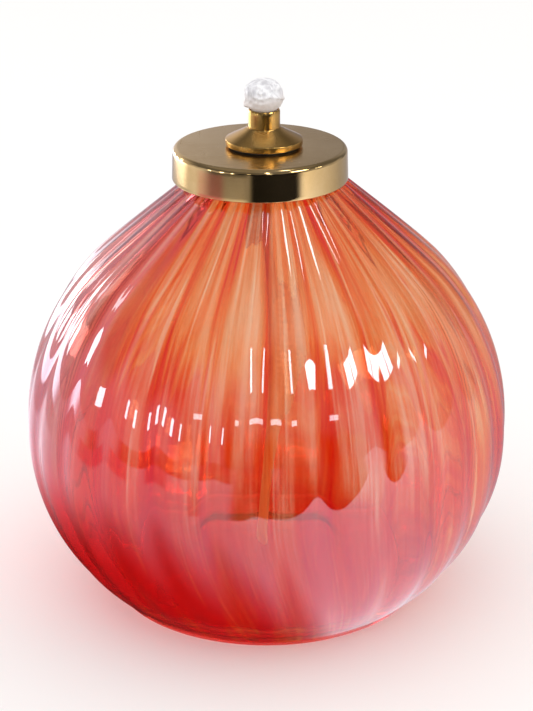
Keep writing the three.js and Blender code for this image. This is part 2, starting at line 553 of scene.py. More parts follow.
@dataclass(frozen=True)
class LustreGlass:
    """Blown glass with streaks of colour drawn out along the ribs, under a thin lilac lustre, and a painted
    mauve reflection on its left side.

    A tone from 0 for cream to 1 for red is the sum of changes up the wall, across the ball and into the
    hollows between the ribs, and of the streaks. The redder tone in the hollows is painted shade.
    """

    cream: Colour = (0.94, 0.68, 0.48)
    peach: Colour = (0.92, 0.47, 0.245)
    orange: Colour = (0.87, 0.25, 0.062)
    ember: Colour = (0.80, 0.082, 0.010)
    red: Colour = (0.73, 0.008, 0.010)
    # Painted reflection: the mauve mixed over the left side, above the lower part of the ball.
    reflected_lilac: Colour = (0.52, 0.15, 0.20)
    inner_tint: Colour = (0.97, 0.66, 0.42)
    foot_tint: Colour = (0.88, 0.10, 0.10)
    tones: tuple[float, ...] = (0.05, 0.27, 0.50, 0.74, 0.98)
    roughness: float = 0.03
    index: float = 1.5
    film_index: float = 1.78
    film_thickness: float = 58.0
    foot: Change = Change(0.38, 1.0, 0.99, 0.38)
    middle: Change = Change(1.0, 1.28, 0.0, -0.13)
    neck: Change = Change(1.42, 1.7, 0.0, 0.26)
    across: Change = Change(-0.95, 0.20, 0.27, -0.18)
    right_side: Change = Change(0.55, 0.92, 0.0, 0.30)
    right_rise: Change = Change(0.45, 0.85, -0.4, 1.0)
    # Painted shade: the tone grows redder towards the hollows between the ribs.
    hollows: Change = Change(-0.15, -1.05, 0.0, 0.24)
    neck_strength: Change = Change(1.40, 1.70, 0.0, 1.1)
    reflected_lilac_side: Change = Change(-0.55, -0.95, 0.0, 0.7)
    reflected_lilac_rise: Change = Change(0.5, 0.85)
    clearness: Change = Change(0.0, 0.55, 0.70, 0.93)
    wisp_share: Change = Change(0.58, 0.72)
    haze_share: Change = Change(0.3, 0.7)
    foot_rise: Change = Change(0.15, 0.75)
    patches: Streaks = Streaks(1.5, 1.1, 0.85, (3.1, 0.4, 1.7), roughness=0.55, distortion=0.5)
    bands: Streaks = Streaks(6.5, 0.8, 1.15, (7.7, 1.9, 0.2))
    streaks: Streaks = Streaks(19, 1.3, 1.25, (0.0, 3.3, 0.9), detail=4, roughness=0.62)
    threads: Streaks = Streaks(80, 2.2, 0.35, (0.3, 7.0, 2.0))
    wisps: Streaks = Streaks(42, 1.1, 0.24, (2.3, 5.0, 4.0), detail=1, roughness=0.55, distortion=0.2)
    haze: Streaks = Streaks(9, 1.2, 1.0, (0, 0, 0), detail=3, roughness=0.55)

    def streaked(self, shader: Shader) -> tuple[bpy.types.NodeSocket, bpy.types.NodeSocket]:
        """Lays out the streaks on the ball's flow coordinates: round the axis, and along the wall.

        Args:
            shader: The material under construction.

        Returns:
            The streaks' colour, and how clear the glass is, from 0 for a milky streak to 1.
        """
        side, _, height = shader.parts(shader.place)
        crest = shader.node("ShaderNodeAttribute", attribute_name="crest").outputs["Fac"]
        layers = (self.patches, self.bands, self.streaks, self.threads)
        levels = {layer: shader.subtract(layer.value(shader), 0.5) for layer in layers}
        tone = shader.add(
            shader.between(height, *self.foot),
            shader.between(height, *self.middle),
            shader.between(height, *self.neck),
            shader.between(side, *self.across),
            shader.multiply(shader.between(side, *self.right_side), shader.between(height, *self.right_rise)),
            # Painted shade in the hollows between the ribs.
            shader.between(crest, *self.hollows),
            *(shader.multiply(levels[layer], layer.strength) for layer in layers),
            shader.multiply(levels[self.streaks], shader.between(height, *self.neck_strength)),
        )
        wisp = shader.between(self.wisps.value(shader), *self.wisp_share)
        tone = shader.subtract(tone, shader.multiply(wisp, self.wisps.strength))
        colours = (self.cream, self.peach, self.orange, self.ember, self.red)
        colour = shader.ramp(tone, tuple(zip(self.tones, colours)))
        # Painted reflection: mauve mixed into the colour on the left side, above the lower part of the ball.
        reflected_lilac = shader.multiply(shader.between(height, *self.reflected_lilac_rise),
                                shader.between(side, *self.reflected_lilac_side))
        return shader.blend(reflected_lilac, colour, self.reflected_lilac), shader.between(tone, *self.clearness)

    def material(self, skin: Skin) -> bpy.types.Material:
        """Builds the glass of one face of the wall: the streaks and the lustre lie on the outer one.

        Args:
            skin: The face of the wall.

        Returns:
            The glass.
        """
        shader = Shader(f"{skin.value}_blown_glass", attribute="flow")
        shader.set(Roughness=self.roughness, IOR=self.index)
        if skin is Skin.OUTER:
            colour, clearness = self.streaked(shader)
            shader.set(Base_Color=colour, Transmission_Weight=clearness,
                       Thin_Film_Thickness=self.film_thickness, Thin_Film_IOR=self.film_index)
        else:
            height = shader.parts(shader.place)[2]
            haze = shader.between(self.haze.value(shader), *self.haze_share)
            tint = shader.blend(haze, self.inner_tint, self.cream)
            tint = shader.blend(shader.between(height, *self.foot_rise), self.foot_tint, tint)
            shader.set(Base_Color=tint, Transmission_Weight=1.0)
        return shader.material


@dataclass(frozen=True)
class Brass:
    """Brass with a satin face, fine turning marks, a few scratches and faint tarnish."""

    name: str
    bright: Colour
    dull: Colour
    polish: float
    satin: float = 0.32
    satin_above: float | None = None
    satin_edge: float = mm(0.35)
    ring_pitch: float = mm(0.18)
    ring_depth: float = mm(0.002)
    ring_strength: float = 0.6
    scratch_depth: float = mm(0.004)
    scratch_strength: float = 0.5
    scratch_roughness: float = 0.08
    tarnished: Change = Change(0.35, 0.75)
    scratched: Change = Change(0.70, 0.76)
    cross_scratched: Change = Change(0.71, 0.77)

    def material(self) -> bpy.types.Material:
        """Builds the brass on Object coordinates, with its marks running round the axis.

        Returns:
            The brass.
        """
        shader = Shader(self.name)
        x, y, z = shader.parts(shader.place)
        radius = shader.math("SQRT", shader.add(shader.math("POWER", x, 2.0), shader.math("POWER", y, 2.0)))
        turning = shader.math("SINE", shader.multiply(shader.add(radius, z), 2 * math.pi / self.ring_pitch))
        unevenness = shader.noise((160, 160, 160))
        tarnish = shader.noise((70, 70, 70), detail=5, roughness=0.65, shift=(1.0, 4.0, 2.0))
        scratches = shader.noise((900, 40, 900), detail=1, distortion=1.2)
        cross_scratches = shader.noise((60, 1100, 500), detail=1, distortion=1.6, shift=(5, 0, 0))
        marks = shader.math("MAXIMUM", shader.between(scratches, *self.scratched),
                            shader.between(cross_scratches, *self.cross_scratched))
        colour = shader.blend(shader.between(tarnish, *self.tarnished), self.bright, self.dull)
        roughness = shader.between(unevenness, 0.25, 0.75, self.polish * 0.8, self.polish * 1.3)
        if self.satin_above is not None:
            upward = shader.between(z, self.satin_above - self.satin_edge, self.satin_above)
            satin = shader.between(unevenness, 0.2, 0.8, self.satin * 0.85, self.satin * 1.15)
            mixed = shader.node("ShaderNodeMix", data_type="FLOAT")
            for socket, source in zip(mixed.inputs[:1] + mixed.inputs[2:4], (upward, roughness, satin)):
                shader.plug(socket, source)
            roughness = mixed.outputs[0]
        roughness = shader.add(roughness, shader.multiply(marks, self.scratch_roughness))
        normal = shader.bump(turning, self.ring_depth, self.ring_strength)
        normal = shader.bump(marks, -self.scratch_depth, self.scratch_strength, under=normal)
        shader.set(Base_Color=colour, Metallic=1.0, Roughness=roughness, Normal=normal)
        return shader.material


@dataclass(frozen=True)
class MattSolid:
    """A matt, slightly mottled solid such as vulcanised fibre or soft rubber."""

    name: str
    light: Colour
    dark: Colour
    roughness: float
    grain: float = 500.0
    grain_height: float = mm(0.03)
    grain_strength: float = 0.4
    unevenness: float = 0.08

    def material(self) -> bpy.types.Material:
        """Builds the solid with a fine grain in colour and height.

        Returns:
            The solid's finish.
        """
        shader = Shader(self.name)
        grain = shader.noise((self.grain,) * 3, detail=4, roughness=0.7)
        shader.set(
            Base_Color=shader.blend(shader.between(grain, 0.3, 0.7), self.dark, self.light),
            Normal=shader.bump(grain, self.grain_height, self.grain_strength),
            Roughness=shader.between(grain, 0.2, 0.8, self.roughness - self.unevenness,
                                     self.roughness + self.unevenness),
        )
        return shader.material


@dataclass(frozen=True)
class GlassYarn:
    """White fibreglass yarn: silky strands, painted shade in its folds and at the foot of its head, and
    painted orange light on its tail, which stands in for the light that reaches it through the coloured
    glass.
    """

    mouth: float
    light: Colour = (0.94, 0.935, 0.96)
    shade: Colour = (0.60, 0.59, 0.62)
    # Painted shade: the warm grey at the foot of the head, near the holder's mouth.
    foot_shade: Colour = (0.80, 0.73, 0.70)
    # Painted light: the tail's orange tint stands in for light that has come through the coloured glass.
    glass_tinted_light: Colour = (0.95, 0.72, 0.54)
    strands: float = 2600.0
    strand_height: float = mm(0.05)
    strand_strength: float = 0.6
    foot_start: float = mm(2.2)
    foot_end: float = mm(5.8)
    foot_unevenness: float = mm(2)
    tinted_light_below: float = mm(16)
    untinted_above: float = mm(8)
    scatter: tuple[float, float, float] = (1.0, 0.95, 0.95)

    def material(self) -> bpy.types.Material:
        """Builds the yarn on Object coordinates.

        Returns:
            The yarn.
        """
        shader = Shader("fibreglass_yarn")
        folds = shader.noise((520, 520, 360), distortion=0.6)
        fibres = shader.noise((self.strands, self.strands, self.strands * 0.22), detail=2, distortion=0.8)
        # Painted shade: the yarn turns grey where the fold noise is low, as shade in the folds.
        colour = shader.blend(shader.between(folds, 0.36, 0.62), self.shade, self.light)
        height = shader.parts(shader.place)[2]
        # Painted shade: the head turns warm grey towards its foot, up to a few millimetres above the holder's
        # mouth.
        foot = shader.between(shader.add(height, shader.multiply(folds, self.foot_unevenness)),
                              self.mouth + self.foot_start, self.mouth + self.foot_end)
        colour = shader.blend(foot, self.foot_shade, colour)
        # Painted light: below the holder's mouth the yarn takes the orange tint of light that has come
        # through the coloured glass.
        untinted = shader.between(height, self.mouth - self.tinted_light_below, self.mouth - self.untinted_above)
        shader.set(
            Base_Color=shader.blend(untinted, self.glass_tinted_light, colour),
            Roughness=shader.between(fibres, 0.3, 0.7, 0.45, 0.75),
            Subsurface_Weight=0.35,
            Subsurface_Scale=mm(0.8),
            Subsurface_Radius=self.scatter,
            Sheen_Weight=0.25,
            Normal=shader.bump(fibres, self.strand_height, self.strand_strength),
        )
        return shader.material


# ---------------------------------------------------------------- glass ball


@dataclass
class RibbedGlobe:
    """The blown glass ball: the oil reservoir, its neck and its base in one piece of ribbed glass."""

    high: Vector
    widest_height: float = mm(41.2)
    lower_half: float = mm(53.5)
    upper_half: float = mm(57.6)
    shoulder_start: float = mm(41.9)
    neck_radius: float = mm(15.6)
    neck_start: float = mm(103.0)
    bore_radius: float = mm(12.8)
    wall: float = mm(2.6)
    floor: float = mm(4.5)
    rest_inner: float = mm(28)
    punt_depth: float = mm(1.2)
    edge_rounding: float = mm(1.2)
    inner_sweep: float = mm(13)
    rib_count: int = 26
    rib_height: float = mm(0.36)
    hollow_sharpness: float = 0.14
    foot_swirl: float = math.radians(11)
    foot_swirl_power: float = 1.5
    neck_swirl: float = math.radians(3)
    neck_swirl_power: float = 2.0
    swirl_start: float = mm(60)
    ribs_start: float = mm(1)
    ribs_full: float = mm(12)
    lip_margin: float = mm(1)
    hand_wander: float = 0.32
    hand_scale: float = 1.6
    hand_turn: float = 4.0
    hand_seed: float = 4.0
    shoulder_handle: float = mm(7.2)
    neck_handle: tuple[float, float] = (mm(3.1), mm(-2.9))
    sweep_corner: float = 0.75
    sweep_start: float = mm(9)
    inner_rib_share: float = 0.45
    segments: int = 26 * 16
    finish: LustreGlass = field(default_factory=LustreGlass)

    @property
    def radius(self) -> float:
        """Radius of the ball at its widest height, between the ribs' crests and hollows."""
        return self.high.x - self.rib_height * (1 - self.hollow_sharpness)

    def skin(self, inset: float, lowest: float, end_radius: float, density: int) -> Profile:
        """The ball's profile, set in from the outside, from its lowest height to the foot of the neck.

        Args:
            inset: How far the skin lies inside the outer one.
            lowest: The height where it starts.
            end_radius: Its radius at the foot of the neck.
            density: How many points the lower half gets; the rest follows from it.

        Returns:
            The skin's points, from the bottom up.
        """
        radius, lower, upper = self.radius - inset, self.lower_half - inset, self.upper_half - inset
        start = math.asin((lowest - self.widest_height) / lower)
        end = math.acos(self.shoulder_start / self.radius)
        points = [(radius * math.cos(a), self.widest_height + lower * math.sin(a))
                  for a in np.linspace(start, 0, density)]
        points += [(radius * math.cos(a), self.widest_height + upper * math.sin(a))
                   for a in np.linspace(0, end, density * 3 // 4)[1:]]
        first = np.array(points[-1])
        along = np.array((-radius * math.sin(end), upper * math.cos(end)))
        handle = first + along / np.linalg.norm(along) * self.shoulder_handle
        last = np.array((end_radius, self.neck_start))
        second = last + np.array(self.neck_handle)
        for t in np.linspace(0, 1, density // 2)[1:]:
            point = ((1 - t) ** 3 * first + 3 * (1 - t) ** 2 * t * handle
                     + 3 * (1 - t) * t ** 2 * second + t ** 3 * last)
            points.append((float(point[0]), float(point[1])))
        return points

    def rounded_foot(self, points: Profile) -> Profile:
        """Rounds the inner skin into the floor in one sweep, as blown glass flows.

        Args:
            points: The inner skin, from the bottom up.

        Returns:
            The inner skin with its rounded foot.
        """
        kept = [point for point in points if point[1] > self.inner_sweep]
        (radius, height), above = kept[0], kept[1]
        slope = (above[0] - radius) / (above[1] - height)
        corner = (radius - slope * (height - self.floor) * self.sweep_corner, self.floor)
        start = (corner[0] - self.sweep_start, self.floor)
        sweep = [((1 - t) ** 2 * start[0] + 2 * t * (1 - t) * corner[0] + t * t * radius,
                  (1 - t) ** 2 * start[1] + 2 * t * (1 - t) * corner[1] + t * t * height)
                 for t in np.linspace(0, 1, 16, endpoint=False)]
        return sweep + kept

    def profile(self) -> tuple[Profile, int, int]:
        """Lays out the whole closed profile.

        Returns:
            The profile, and where its outer skin starts and ends.
        """
        lip_round = (self.neck_radius - self.bore_radius) / 2
        lip_centre = (self.bore_radius + lip_round, self.high.z - lip_round)
        outside = self.skin(0, self.edge_rounding, self.neck_radius, 56)
        inside = self.rounded_foot(self.skin(self.wall, self.floor, self.bore_radius, 36))
        foot = outside[0][0] - self.edge_rounding
        punt = [(self.rest_inner * t, self.punt_depth * (1 - t ** 4)) for t in np.linspace(0, 1, 10)]
        base = punt + stretch((self.rest_inner, 0), (foot, 0), 4)[1:]
        base += arc((foot, self.edge_rounding), self.edge_rounding, -90, -22, 5)
        neck = stretch(outside[-1], (self.neck_radius, lip_centre[1]), 5)[1:]
        lip = arc(lip_centre, lip_round, 0, 180, 12)
        bore = stretch(lip[-1], inside[-1], 5)[1:]
        ground = [(inside[0][0] * t, self.floor) for t in np.linspace(1, 0, 14)[1:]]
        points = base + outside + neck + lip + bore + inside[::-1] + ground
        return points, len(base), len(base) + len(outside) + len(neck)

    def add_attributes(self, piece: bpy.types.Object, outside: range) -> None:
        """Stores the flow and the share of the ribs' relief, which the ribs and the streaks follow.

        The flow is the direction round the axis, as a sine and a cosine, and the height in radii.

        Args:
            piece: The turned ball.
            outside: The profile points of the outer skin.
        """
        places = np.array([v.co for v in piece.data.vertices])
        around = np.arctan2(places[:, 0], -places[:, 1])
        along = places[:, 2] / self.radius
        flow = piece.data.attributes.new("flow", "FLOAT_VECTOR", "POINT")
        values = np.column_stack((np.sin(around), np.cos(around), along)).astype(np.float32)
        flow.data.foreach_set("vector", values.ravel())
        relief = piece.data.attributes.new("relief", "FLOAT", "POINT")
        shares = np.full(len(places), self.inner_rib_share, np.float32)
        first = 1 + (outside.start - 1) * self.segments
        shares[first:first + len(outside) * self.segments] = 1.0
        relief.data.foreach_set("value", shares)

    def rib_tree(self, outer: bpy.types.Material, inner: bpy.types.Material) -> GeometryTree:
        """Builds the tree that presses the ribs into the ball, swirls them and dresses both skins.

        Args:
            outer: The glass of the outer skin.
            inner: The glass of the inner skin.

        Returns:
            The tree, with its inputs set to this ball's sizes.
        """
        tree = GeometryTree("swirled_ribs")
        count = tree.named_input("Rib Count", float(self.rib_count))
        height = tree.named_input("Rib Height", self.rib_height)
        sharpness = tree.named_input("Hollow Sharpness", self.hollow_sharpness)
        foot = tree.named_input("Foot Swirl", self.foot_swirl)
        neck = tree.named_input("Neck Swirl", self.neck_swirl)
        widest = tree.named_input("Widest Height", self.widest_height)
        top = tree.named_input("Lip Height", self.high.z)
        start = tree.named_input("Neck Swirl Start", self.swirl_start)
        wander = tree.named_input("Hand Wander", self.hand_wander)
        seed = tree.named_input("Seed", self.hand_seed)
        outer_glass = tree.named_input("Outer Glass", outer)
        inner_glass = tree.named_input("Inner Glass", inner)

        x, y, z = tree.parts(tree.node("GeometryNodeInputPosition").outputs[0])
        azimuth = tree.math("ARCTAN2", x, tree.multiply(y, -1.0))
        radius = tree.math("SQRT", tree.add(tree.multiply(x, x), tree.multiply(y, y)))
        hand = tree.node("ShaderNodeTexNoise", noise_dimensions="4D")
        for name, source in (("Vector", tree.attribute("flow", "FLOAT_VECTOR")), ("W", seed),
                             ("Scale", self.hand_scale), ("Detail", 1.0)):
            tree.plug(hand.inputs[name], source)
        drift = tree.multiply(tree.subtract(hand.outputs[0], 0.5), wander)
        phase = tree.add(tree.multiply(count, azimuth), math.pi, tree.multiply(drift, self.hand_turn))
        hollow = tree.multiply(sharpness, tree.math("COSINE", tree.multiply(phase, 2.0)))
        wave = tree.subtract(tree.math("COSINE", phase), hollow)
        share = tree.attribute("relief", "FLOAT")
        rise = tree.between(z, self.ribs_start, self.ribs_full)
        fade = tree.subtract(1.0, tree.between(z, self.neck_start, tree.subtract(top, self.lip_margin)))
        relief = tree.multiply(height, wave, share, tree.multiply(rise, fade), tree.add(1.0, drift))
        reach = tree.add(radius, relief)
        below = tree.math("MAXIMUM", tree.math("DIVIDE", tree.subtract(widest, z), widest), 0.0)
        way_up = tree.math("DIVIDE", tree.subtract(z, start), tree.subtract(top, start))
        above = tree.math("MAXIMUM", way_up, 0.0)
        swirl = tree.add(tree.multiply(foot, tree.math("POWER", below, self.foot_swirl_power)),
                         tree.multiply(neck, tree.math("POWER", above, self.neck_swirl_power)))
        angle = tree.add(azimuth, swirl)
        moved = tree.node("ShaderNodeCombineXYZ")
        sideways = tree.multiply(reach, tree.math("SINE", angle))
        backward = tree.multiply(reach, tree.multiply(tree.math("COSINE", angle), -1.0))
        for socket, source in zip(moved.inputs, (sideways, backward, z)):
            tree.plug(socket, source)
        setter = tree.node("GeometryNodeSetPosition")
        tree.plug(setter.inputs["Geometry"], tree.inlet.outputs["Geometry"])
        tree.plug(setter.inputs["Position"], moved.outputs[0])
        crest = tree.node("GeometryNodeStoreNamedAttribute", data_type="FLOAT", domain="POINT")
        for name, source in (("Name", "crest"), ("Value", wave), ("Geometry", setter.outputs["Geometry"])):
            tree.plug(crest.inputs[name], source)
        lining = tree.dress(crest.outputs["Geometry"], inner_glass)
        is_outer = tree.node("FunctionNodeCompare", data_type="FLOAT", operation="GREATER_THAN")
        for socket, source in zip(is_outer.inputs, (share, FULL_RELIEF)):
            tree.plug(socket, source)
        tree.finish(lining, outer_glass, is_outer.outputs[0])
        return tree

    def build(self) -> bpy.types.Object:
        """Turns the ball, presses its ribs and dresses it.

        Returns:
            The ball.
        """
        profile, first, last = self.profile()
        ball = turned("ribbed_glass_ball", profile, self.segments, crease=60)
        ball.visible_shadow = False
        self.add_attributes(ball, range(first, last))
        outer, inner = (self.finish.material(skin) for skin in (Skin.OUTER, Skin.INNER))
        self.rib_tree(outer, inner).apply_to(ball)
        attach(ball, Body.GLOBE.value)
        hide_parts("glass_globe", "glass_shoulder")
        return ball


# ---------------------------------------------------------------- cap, holder and clamping parts


@dataclass
class CapAssembly:
    """The brass cap with the wick holder clamped through it, and the seal ring under it."""

    cap_top: float
    cap_radius: float
    skirt_bottom: float
    holder_bottom: float
    holder_top: float
    flange_radius: float
    seal_low: Vector
    seal_high: Vector
    sheet: float = mm(0.6)
    edge_rounding: float = mm(1.2)
    skirt_flare: float = mm(0.2)
    flange_gap: float = mm(0.5)
    rim_height: float = mm(1.4)
    cone_top: float = mm(4.45)
    tube_radius: float = mm(3.65)
    bore_radius: float = mm(3.2)
    shank_radius: float = mm(4.2)
    washer_radius: float = mm(8.1)
    nut_washer_radius: float = mm(7.9)
    nut_washer_thickness: float = mm(0.8)
    nut_across_flats: float = mm(12)
    nut_height: float = mm(3.4)
    nut_chamfer: float = mm(0.75)
    nut_chamfer_height: float = mm(0.45)
    nut_corner_margin: float = mm(0.1)
    nut_segments: int = 96
    thread_pitch: float = mm(1.0)
    thread_depth: float = mm(0.22)
    thread_samples: int = 8
    hole_clearance: float = mm(0.3)
    washer_clearance: float = mm(0.25)
    gasket_bore: float = mm(13.1)
    fine_edge: float = mm(0.2)
    rim_edge: float = mm(0.22)
    thread_chamfer: float = mm(0.3)
    shank_chamfer: float = mm(0.35)
    cone_foot_turn: float = 62.0
    cone_neck_mm: tuple[tuple[float, float], ...] = ((0.42, -0.12), (0.2, 0.0), (0.16, 0.10), (0.0, 0.14))
    tube_mouth_mm: tuple[tuple[float, float], ...] = (
        (0.0, -0.45), (-0.06, -0.3), (-0.13, -0.08), (-0.2, 0.0))
    hairline: float = mm(0.05)
    skirt_drop: float = mm(0.4)
    cap_shift: float = mm(-1.45)
    holder_shift: float = mm(-0.55)
    segments: int = 192

    def place(self, piece: bpy.types.Object, node: str, slot: Slot, material: bpy.types.Material,
              body: Body = Body.CAP) -> bpy.types.Object:
        """Dresses a piece and ties it to the frame.

        Args:
            piece: The finished mesh.
            node: The CAD node that it stands for.
            slot: The record's slot of its finish; not used.
            material: Its finish.
            body: The body that it rides on.

        Returns:
            The piece.
        """
        if body is Body.CAP and node != "brass_cap":
            piece.data.transform(Matrix.Translation((self.holder_shift, 0, 0)))
        piece.data.materials.clear()
        piece.data.materials.append(material)
        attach(piece, body.value)
        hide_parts(node)
        return piece

    def cap(self) -> bpy.types.Object:
        """Makes the spun cap: a flat disc with a rounded edge, and a skirt that flares a little.

        The cap is off the axis and its hole stays round the shank, so its middle is stretched to suit.

        Returns:
            The cap.
        """
        top, outer = self.cap_top, self.cap_radius - self.skirt_flare
        bottom = self.skirt_bottom - self.skirt_drop
        inner = outer - self.sheet
        hole = self.shank_radius + self.hole_clearance
        small = self.edge_rounding - self.sheet
        hem = self.sheet / 2
        profile = [(hole, top - self.sheet), (self.washer_radius, top - self.sheet)]
        profile += arc((inner - small, top - self.sheet - small), small, 90, 0, 6)
        profile += stretch(profile[-1], (inner + self.skirt_flare, bottom + hem), 6)[1:]
        profile += arc((outer + self.skirt_flare - hem, bottom + hem), hem, 180, 360, 12)
        profile += stretch(profile[-1], (outer, top - self.edge_rounding), 8)[1:]
        profile += arc((outer - self.edge_rounding, top - self.edge_rounding), self.edge_rounding, 0, 90, 10)
        profile += [(self.washer_radius, top), (hole, top)]
        cap = turned("spun_brass_cap", profile, self.segments)
        for vertex in cap.data.vertices:
            out = (math.hypot(vertex.co.x, vertex.co.y) - hole) / (self.washer_radius - hole)
            vertex.co.x += self.holder_shift + (self.cap_shift - self.holder_shift) * min(1.0, out)
        finish = Brass("spun_cap_brass", bright=(0.84, 0.61, 0.28), dull=(0.74, 0.51, 0.20),
                       polish=0.08, satin=0.24, satin_above=top)
        return self.place(cap, "brass_cap", Slot.CAP_BRASS, finish.material())

    def ring(self, name: str, inner: float, outer: float, low: float, high: float,
             rounding: float) -> bpy.types.Object:
        """Makes a flat ring with rounded edges.

        Args:
            name: The ring's name.
            inner: Its inner radius.
            outer: Its outer radius.
            low: The height of its underside.
            high: The height of its top.
            rounding: The radius of its edges.

        Returns:
            The ring.
        """
        profile: Profile = []
        for radius, height, start in ((inner + rounding, low + rounding, 180),
                                      (outer - rounding, low + rounding, 270),
                                      (outer - rounding, high - rounding, 0),
                                      (inner + rounding, high - rounding, 90)):
            profile += arc((radius, height), rounding, start, start + 90, 4)
        return turned(name, profile, self.segments // 2)

    def seat_washer(self) -> bpy.types.Object:
        """Makes the dark fibre washer under the holder's flange.

        Returns:
            The washer.
        """
        ring = self.ring("fibre_seat_washer", self.shank_radius + self.washer_clearance, self.washer_radius,
                         self.cap_top + self.hairline, self.cap_top + self.flange_gap - self.hairline,
                         rounding=mm(0.08))
        finish = MattSolid("vulcanised_fibre", (0.06, 0.055, 0.045), (0.02, 0.018, 0.016), 0.75)
        return self.place(ring, "seat_washer", Slot.DARK_FIBRE, finish.material())

    def gasket(self) -> bpy.types.Object:
        """Makes the soft ring between the glass lip and the cap.

        Returns:
            The gasket.
        """
        ring = self.ring("neck_seal_ring", self.gasket_bore, self.seal_high.y, self.seal_low.z,
                         self.seal_high.z, rounding=mm(0.3))
        finish = MattSolid("milky_seal_rubber", (0.80, 0.77, 0.72), (0.70, 0.66, 0.60), 0.62, grain=300.0)
        return self.place(ring, "neck_gasket", Slot.SEAL_RUBBER, finish.material(), Body.SEAL)

    def thread(self, low: float, high: float) -> Profile:
        """Cuts the shank's outline between two heights, with rounded thread crests.

        Args:
            low: The height where the thread starts.
            high: The height where it ends.

        Returns:
            The outline's points, from the bottom up.
        """
        turns = max(1, round((high - low) / self.thread_pitch))
        steps = turns * self.thread_samples
        outline: Profile = []
        for step, height in enumerate(np.linspace(low, high, steps + 1)):
            cut = 0.5 - 0.5 * math.cos(2 * math.pi * turns * step / steps)
            outline.append((self.shank_radius - self.thread_depth * cut, float(height)))
        return outline

    def holder(self) -> bpy.types.Object:
        """Turns the holder: flange, cone and tube above the cap, threaded shank below it.

        Returns:
            The holder.
        """
        base, top, tube, bore = self.cap_top, self.holder_top, self.tube_radius, self.bore_radius
        under, rim = base + self.flange_gap, base + self.flange_gap + self.rim_height
        cone, flange, foot = base + self.cone_top, self.flange_radius, self.holder_bottom
        fine, edge = self.fine_edge, self.rim_edge
        profile = [(bore, foot + fine), (bore + fine, foot), (self.shank_radius - self.shank_chamfer, foot)]
        profile += self.thread(foot + self.thread_chamfer, base - self.sheet)
        profile += [(self.shank_radius, under)]
        profile += arc((flange - fine, under + fine), fine, -90, 0, 5)
        profile += arc((flange - edge, rim - edge), edge, 0, self.cone_foot_turn, 5)
        profile += stretch(profile[-1], (tube + mm(0.75), cone - mm(0.42)), 8)[1:]
        profile += [(tube + mm(out), cone + mm(up)) for out, up in self.cone_neck_mm]
        mouth = [(tube + mm(out), top + mm(up)) for out, up in self.tube_mouth_mm]
        profile += stretch(profile[-1], mouth[0], 6)[1:] + mouth
        profile += [(bore + mm(0.08), top), (bore, top - mm(0.1))]
        profile += stretch(profile[-1], (bore, foot + fine), 10)[1:]
        finish = Brass("turned_holder_brass", bright=(0.78, 0.49, 0.15), dull=(0.62, 0.36, 0.09),
                       polish=0.16, ring_pitch=mm(0.16), ring_depth=mm(0.006))
        return self.place(turned("turned_wick_holder", profile, self.segments, crease=40), "wick_holder",
                          Slot.HOLDER_BRASS, finish.material())

    def nut_washer(self, material: bpy.types.Material) -> bpy.types.Object:
        """Makes the flat washer between the nut and the cap.

        Args:
            material: Its brass.

        Returns:
            The washer.
        """
        high = self.cap_top - self.sheet - self.hairline
        ring = self.ring("flat_nut_washer", self.shank_radius + self.washer_clearance, self.nut_washer_radius,
                         high - self.nut_washer_thickness, high, rounding=mm(0.12))
        return self.place(ring, "nut_washer", Slot.HARDWARE_BRASS, material)

    def lock_nut(self, material: bpy.types.Material) -> bpy.types.Object:
        """Makes the hexagon nut, with the round chamfers that turn its corners off.

        Args:
            material: Its brass.

        Returns:
            The nut.
        """
        top = self.cap_top - self.sheet - self.nut_washer_thickness - 2 * self.hairline
        bottom = top - self.nut_height
        flat, corner = self.nut_across_flats / 2, self.nut_across_flats / math.sqrt(3)
        around = self.nut_segments
        turn = np.arange(around) * (2 * math.pi / around)
        sixth = (turn + math.pi / 6) % (math.pi / 3) - math.pi / 6
        hexagon = flat / np.cos(np.where(sixth < 0, sixth + math.pi / 6, sixth - math.pi / 6))
        narrow, wide = corner - self.nut_chamfer, corner + self.nut_corner_margin
        levels = [(bottom, narrow), (bottom + self.nut_chamfer_height, wide),
                  (top - self.nut_chamfer_height, wide), (top, narrow)]
        bore = np.full(around, self.shank_radius + self.washer_clearance)
        countersink = self.thread_chamfer
        loops = [(bore, bottom + countersink), (bore + countersink, bottom)]
        loops += [(np.minimum(hexagon, limit), height) for height, limit in levels]
        loops += [(bore + countersink, top), (bore, top - countersink)]
        vertices = np.concatenate([np.column_stack((r * np.sin(turn), -r * np.cos(turn), np.full(around, z)))
                                   for r, z in loops])
        faces: list[tuple[int, ...]] = []
        for loop in range(len(loops)):
            low, high = loop * around, (loop + 1) % len(loops) * around
            faces.extend((low + i, low + (i + 1) % around, high + (i + 1) % around, high + i)
                         for i in range(around))
        nut = mesh_object("hexagon_lock_nut", vertices, faces)
        nut.data.set_sharp_from_angle(angle=math.radians(25))
        return self.place(nut, "lock_nut", Slot.HARDWARE_BRASS, material)

    def build(self) -> list[bpy.types.Object]:
        """Makes and dresses every piece of the cap.

        Returns:
            The six pieces.
        """
        plain = Brass("machined_brass", bright=(0.76, 0.56, 0.27), dull=(0.60, 0.42, 0.19),
                      polish=0.25).material()
        return [self.cap(), self.holder(), self.seat_washer(), self.nut_washer(plain),
                self.lock_nut(plain), self.gasket()]


# ---------------------------------------------------------------- wick


class Fold(NamedTuple):
    """A soft bump on the wick's head: where it is, how far it reaches and how high it stands."""

    azimuth: float
    up: float
    width: float
    reach: float
    rise: float

    def stands(self, turn: np.ndarray, up: np.ndarray) -> np.ndarray:
        """The bump's height at each place, as a share of a fold's full height."""
        away = off_by(turn, self.azimuth) / math.radians(self.width)
        return self.rise * np.exp(-away ** 2 - ((up - self.up) / self.reach) ** 2)


def off_by(turn: np.ndarray, azimuth: float) -> np.ndarray:
    """How far each direction is from an azimuth in degrees, in radians from -pi to pi."""
    return (turn - math.radians(azimuth) + math.pi) % (2 * math.pi) - math.pi


